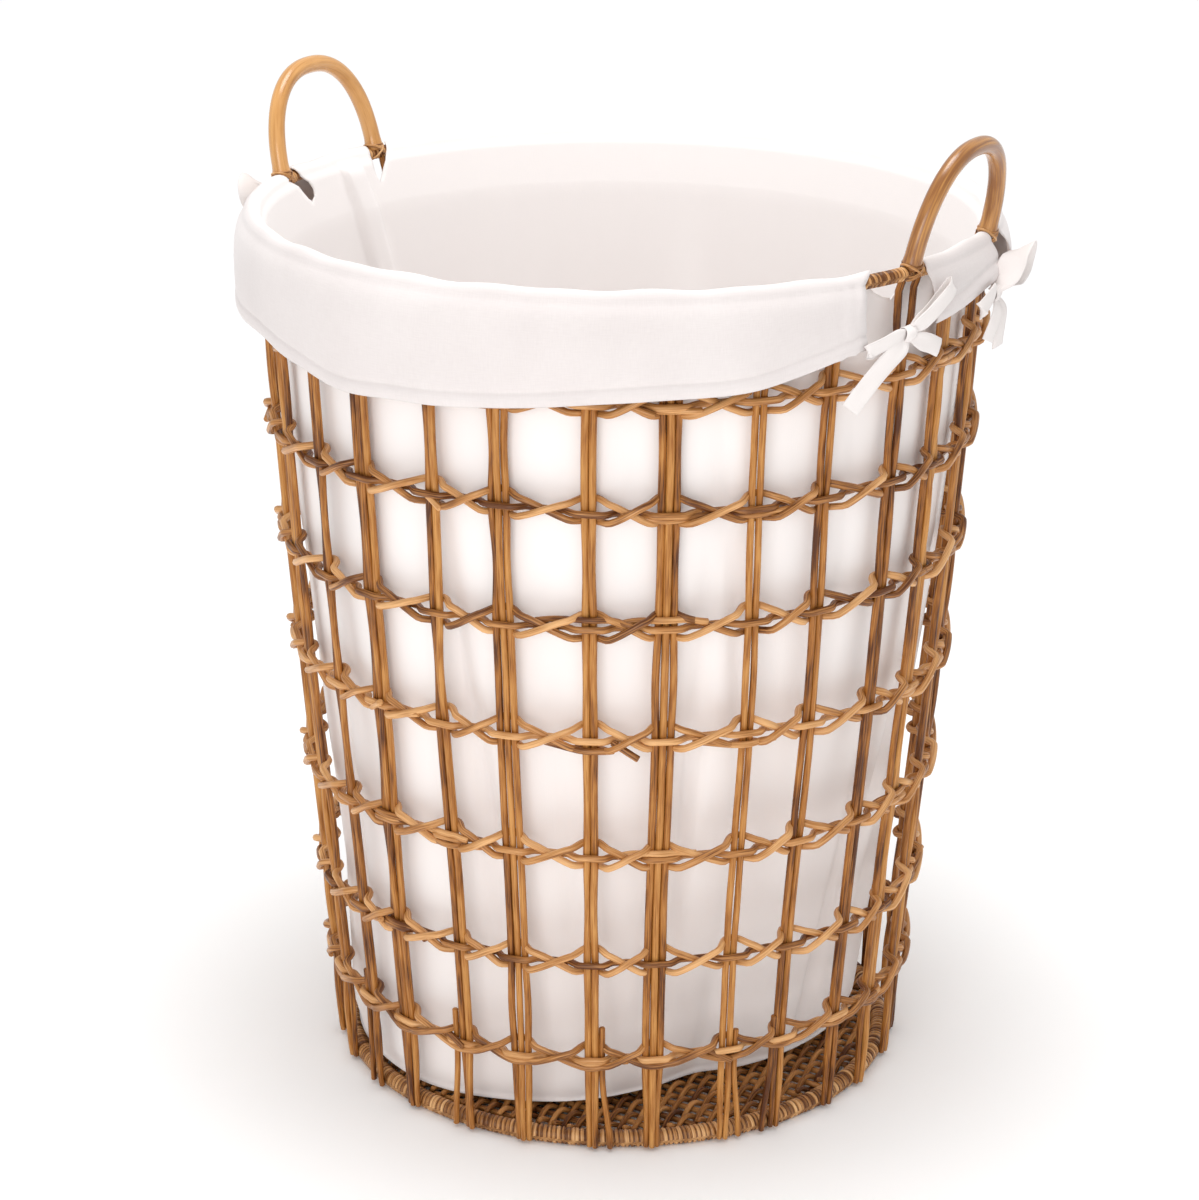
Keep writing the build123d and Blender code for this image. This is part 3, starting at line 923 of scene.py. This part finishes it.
def liner_skin():
    """Build the four panels on shared rows, then weld the edges that lie together."""
    points, tones, corner_uv, faces, count = [], [], [], [], 0
    for start, start_cuff, start_turn, end, end_cuff, end_turn, columns in PANELS:
        share = np.linspace(0, 1, columns + 1)

        def azimuth_of(step):
            a = slit_edge(step, start, start_cuff) + start_turn
            b = slit_edge(step, end, end_cuff) + end_turn
            return a[:, None] + (b - a)[:, None] * share

        azimuth, radius, z = liner_rows(azimuth_of)
        grid = around(azimuth, radius, z)
        rows = len(grid)
        along = np.linalg.norm(np.diff(grid, axis=0), axis=2).mean(1)
        v = np.concatenate([[0], np.cumsum(along)])[:, None]
        uv = np.stack(np.broadcast_arrays(np.radians(azimuth) * RIM_R, v), -1).reshape(-1, 2)
        i, j = np.meshgrid(np.arange(rows - 1), np.arange(columns), indexing="ij")
        first = i * (columns + 1) + j
        quads = np.stack([first, first + 1, first + columns + 2, first + columns + 1], -1).reshape(-1, 4)
        corner_uv.append(uv[quads].reshape(-1, 2))
        points.append(grid.reshape(-1, 3))
        # Painted shade: the rows turned out over the rim, the cuff, get tone 0 and so take the darker shade colour
        # of the cloth; the bag keeps tone 1. The real cloth is one colour.
        cuff_painted_shade = smooth_step((np.arange(rows) - (rows - 44)) / 6)
        tones.append(np.repeat(1 - cuff_painted_shade, columns + 1))
        faces.append(quads + count)
        count += rows * (columns + 1)
    points, tones, faces = np.concatenate(points), np.concatenate(tones), np.concatenate(faces)
    _, first, place = np.unique(np.round(points, 6), axis=0, return_index=True, return_inverse=True)
    faces = [place.reshape(-1)[faces]]
    return {"points": points[first], "faces": faces, "tone": tones[first], "corner_uv": np.concatenate(corner_uv)}


# %% [markdown]
# The first row is a small ring round the middle of the bottom. A fan of triangles closes it.
# The cloth then gets its thickness, so that every edge at a slit or hem has a real side.

# %% Liner


def close_middle(skin):
    """Add the bottom's middle point and a fan from it to the innermost ring."""
    points = skin["points"]
    r = np.hypot(points[:, 0], points[:, 1])
    ring = np.flatnonzero(r < 6 * MM)
    ring = ring[np.argsort(np.arctan2(points[ring, 1], points[ring, 0]))]
    middle = len(points)
    skin["points"] = np.vstack([points, [[0, 0, points[ring, 2].mean()]]])
    skin["tone"] = np.append(skin["tone"], 1.0)
    fan = np.stack([np.full(len(ring), middle), ring, np.roll(ring, -1)], -1)
    skin["faces"].append(fan)
    skin["corner_uv"] = np.vstack([skin["corner_uv"], np.zeros((fan.size, 2))])
    return skin


def cotton(name, colour, shade, thread_mm):
    """Washed plain-weave cotton. The threads are finer than this, and are drawn as coarse as
    they need to be to show. Slubs are short thick places along a thread. The tone attribute
    moves the colour between shade, near 0, and colour, near 1; on the liner the turned-out
    cuff is 0, so its darker colour there is a painted shade."""
    material, tree, shader = new_material(name)
    uv = add(tree, "TexCoord").outputs["UV"]
    scale = 1 / (thread_mm * MM)
    heights = []
    for stretch in ((scale, scale * 0.09, 1.0), (scale * 0.09, scale, 1.0)):
        at = add(tree, "Mapping", {"Vector": uv, "Scale": stretch}).outputs[0]
        heights.append(add(tree, "TexNoise", {"Vector": at, "Scale": 1.0, "Detail": 1.0}).outputs[0])
    weave = add(tree, "Math", {0: heights[0], 1: heights[1]}, operation="ADD").outputs[0]
    place = add(tree, "TexCoord").outputs["Object"]
    cloudy = add(tree, "TexNoise", {"Vector": place, "Scale": 14.0, "Detail": 2.0}).outputs[0]
    # tone carries the liner's painted shade: 0 on the turned-out cuff, 1 on the bag.
    tone = add(tree, "Attribute", attribute_name="tone").outputs["Fac"]
    mixed = add(tree, "Math", {0: weave, 1: 0.15, 2: tone}, operation="MULTIPLY_ADD").outputs[0]
    mixed = add(tree, "Math", {0: cloudy, 1: 0.4, 2: mixed}, operation="MULTIPLY_ADD").outputs[0]
    ramp = add(tree, "ValToRGB", {"Fac": mixed})
    ramp.color_ramp.elements[0].position, ramp.color_ramp.elements[0].color = 0.25, hex_colour(shade)
    ramp.color_ramp.elements[1].position, ramp.color_ramp.elements[1].color = 1.35, hex_colour(colour)
    tree.links.new(ramp.outputs[0], shader.inputs["Base Color"])
    bump = add(tree, "Bump", {"Height": weave, "Strength": 0.3, "Distance": 0.12 * MM})
    tree.links.new(bump.outputs[0], shader.inputs["Normal"])
    shader.inputs["Roughness"].default_value = 0.92
    shader.inputs["Specular IOR Level"].default_value = 0.2
    shader.inputs["Sheen Weight"].default_value = 0.25
    shader.inputs["Sheen Roughness"].default_value = 0.5
    return material


# dbd3d1 is a painted shade: the liner's turned-out cuff takes it, darker than the bag's faf5f3.
CLOTH = cotton("washed_white_cotton", "faf5f3", "dbd3d1", 0.7)
RIBBON = cotton("white_cotton_ribbon", "f6f1ef", "eae3e0", 0.7)
LINER_NODES = ["liner_bottom", "liner_wall", "cuff_front", "cuff_back", "tab_right", "tab_left"]
liner = new_piece("liner_bag", close_middle(liner_skin()), CLOTH, "liner", LINER_NODES)
thickness = liner.modifiers.new("cloth_thickness", "SOLIDIFY")
thickness.thickness = 0.9 * MM
thickness.offset = 0.0
print("liner", len(liner.data.polygons), "faces")

# %% [markdown]
# ## Ribbons
# Each slit is closed by a pair of cotton tapes tied in a bow. A tape is a thin flat section
# carried along a smooth line: two loops that go out and come back, two tails with cut ends,
# and a short turn round the middle that makes the knot. The tapes narrow where the knot
# gathers them. A place in a bow is given as right, up and out, in millimetres from the knot.

# %% Bows
TAPE_SECTION = np.array([
    (-1.0, 0.0), (-0.93, 0.5), (-0.5, 0.62), (0.0, 0.45), (0.5, 0.66), (0.93, 0.5),
    (1.0, 0.0), (0.93, -0.5), (0.5, -0.38), (0.0, -0.55), (-0.5, -0.36), (-0.93, -0.5),
])


def tape(controls, width, thick, across, steps=40, gathered=0.45, reach=14.0):
    """Section point (a, b) at a line point is line + a * width/2 * side + b * thick * normal."""
    controls = np.array(controls, float)
    length = np.concatenate([[0], np.cumsum(np.linalg.norm(np.diff(controls, axis=0), axis=1))])
    even = np.linspace(0, length[-1], steps)
    line = np.stack([ease_through(even, length, controls[:, k]) for k in range(3)], -1)
    tangent = unit(np.gradient(line, axis=0))
    side = np.broadcast_to(np.asarray(across, float), line.shape)
    side = unit(side - (side * tangent).sum(-1, keepdims=True) * tangent)
    normal = np.cross(tangent, side)
    from_knot = np.linalg.norm(line, axis=1)
    wide = width / 2 * (gathered + (1 - gathered) * smooth_step(from_knot / reach))
    a, b = TAPE_SECTION[:, 0], TAPE_SECTION[:, 1]
    curl = 0.9 * np.sin(even / 6.0)[:, None] * (a**2 - 0.4)
    points = line[:, None] + (wide[:, None] * a)[..., None] * side[:, None]
    points = points + (thick * b + curl)[..., None] * normal[:, None]
    n, m = steps, len(a)
    i, j = np.meshgrid(np.arange(n - 1), np.arange(m), indexing="ij")
    k = (j + 1) % m
    quads = np.stack([i * m + j, (i + 1) * m + j, (i + 1) * m + k, i * m + k], -1).reshape(-1, 4)
    uv = np.stack(np.broadcast_arrays(even[:, None], a * width / 2), -1).reshape(-1, 2) * MM
    ends = [np.arange(m), np.arange(m)[::-1] + (n - 1) * m]
    return {"points": points.reshape(-1, 3), "quads": quads, "ends": ends, "uv": uv}


def bow_skin(tapes, azimuth, radius, z):
    """Lay a bow's tapes round the cuff: right becomes azimuth, up height, out radius."""
    points, faces, uvs, count = [], [], [], 0
    for t in tapes:
        right, up, out = (t["points"] * MM).T
        points.append(around(azimuth + np.degrees(right / radius), radius + out, z + up))
        blocks = [t["quads"]] + [end[None] for end in t["ends"]]
        for block in blocks:
            faces.append(block + count)
            uvs.append(t["uv"][block].reshape(-1, 2))
        count += len(t["points"])
    return {"points": np.concatenate(points), "faces": faces, "corner_uv": np.concatenate(uvs)}


UP, OUT = (0.0, 1.0, 0.0), (0.0, 0.0, 1.0)


def knot():
    """A tape that goes once round the crossing, from the back over the front."""
    a = np.linspace(-2.6, 2.6, 9)
    controls = np.stack([0.8 * np.sin(a * 1.5), 4.6 * np.sin(a), 1.2 + 3.8 * np.cos(a)], -1)
    return tape(controls, 8.5, 1.0, (1.0, 0.1, 0.0), 26, gathered=1.0)


def front_bow():
    """The bow at the wide slit: long tail to the lower left, long loop to the upper right."""
    tie = [(0, 1, 1), (-10, 1, 4), (-22, -2, 4), (-33, -6, 2), (-24, -7, 0.6), (-11, -4, 0), (0, -1, 0)]
    loop = [(0, 1, 1), (10, 7, 5), (24, 16, 7), (35, 23, 6), (39, 25, 3.5), (33, 19, 0.5), (15, 7, 0), (0, -1, 0)]
    return [
        tape(tie, 9, 0.9, UP),
        tape(loop, 11, 0.9, (-0.5, 0.85, 0)),
        tape([(0, -1, 1), (-10, -6, 5), (-23, -15, 6), (-36, -27, 5), (-46, -40, 3)], 12, 0.9, (0.65, -0.7, 0.3)),
        tape([(0, -1, 1), (8, -5, 4), (18, -9, 4.5), (29, -14, 2.5)], 12, 0.9, (0.35, 0.9, 0)),
        knot(),
    ]


def back_bow():
    """The bow by the far leg: a full loop up and right, and two short hanging tails."""
    loop = [(0, 1, 1), (8, 10, 6), (17, 22, 10), (26, 25, 12), (31, 15, 9), (24, 2, 4), (9, -2, 0), (0, -1, 0)]
    tie = [(0, 1, 1), (-9, 4, 5), (-20, 2, 6), (-28, -4, 4), (-20, -7, 0.5), (-8, -3, 0), (0, 0, 0)]
    return [
        tape(loop, 18, 1.0, (0.35, 0.45, 0.8)),
        tape(tie, 11, 0.9, UP),
        tape([(0, -1, 1), (-4, -9, 5), (-9, -18, 5), (-13, -28, 3)], 12, 0.9, (0.85, -0.4, 0.2)),
        tape([(0, -1, 1), (2, -10, 5), (4, -22, 5), (6, -36, 3)], 13, 0.9, (0.95, 0.1, 0.2)),
        knot(),
    ]


CUFF_FACE = RIM_R + HUG + 6.5 * MM
BOWS = (
    ("right_front", front_bow, -17.0, 0.5615), ("right_back", back_bow, 6.0, 0.566),
    ("left_back", front_bow, 163.0, 0.5615), ("left_front", back_bow, 186.0, 0.566),
)
for name, make, azimuth, z in BOWS:
    skin = bow_skin(make(), azimuth, CUFF_FACE + 2.0 * MM, z)
    new_piece(f"bow_{name}_ribbon", skin, RIBBON, "liner", [f"bow_{name}"])
